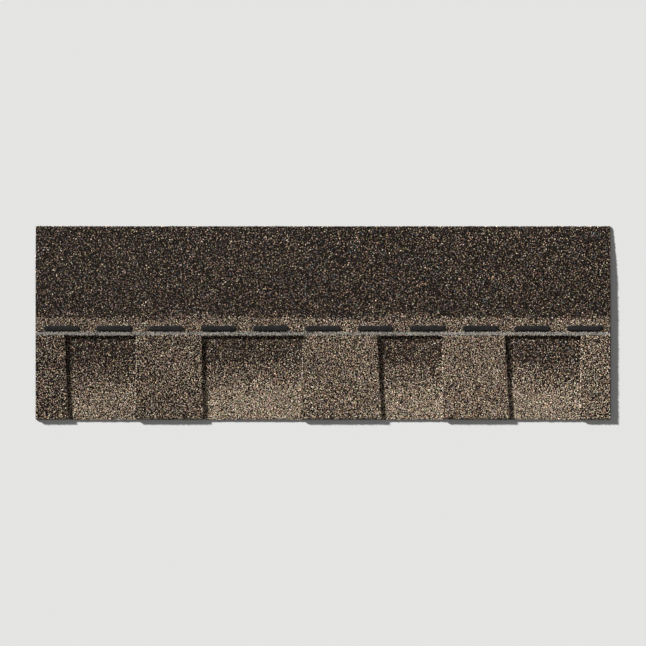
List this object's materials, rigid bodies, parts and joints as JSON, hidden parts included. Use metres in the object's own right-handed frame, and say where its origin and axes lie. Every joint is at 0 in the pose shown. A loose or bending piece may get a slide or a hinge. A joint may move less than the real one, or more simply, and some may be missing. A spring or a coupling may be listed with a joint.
{
  "type": "laminated asphalt shingle",
  "caption": "Laminated asphalt roofing shingle with dragon-tooth cut-outs over a backing strip, a self-seal strip on its face and release tape on its back.",
  "frame": {"origin": "middle of the footprint, on the floor that the shingle lies on", "axes": "+X along the shingle, to the right as seen from the face with the teeth at the bottom; +Y up the roof slope, from the teeth to the headlap; +Z out of the granule face"},
  "size_m": [1, 0.337, 0.0066],
  "materials": {
    "overlay_granules": "matte",
    "backing_granules": "matte",
    "asphalt": "satin",
    "release_film": "gloss"
  },
  "bodies": {
    "root": {"overlay": "overlay_granules", "backing_strip": "backing_granules", "laminating_adhesive": "asphalt", "seal_dashes": "asphalt", "release_tape": "release_film"}
  },
  "joints": []
}
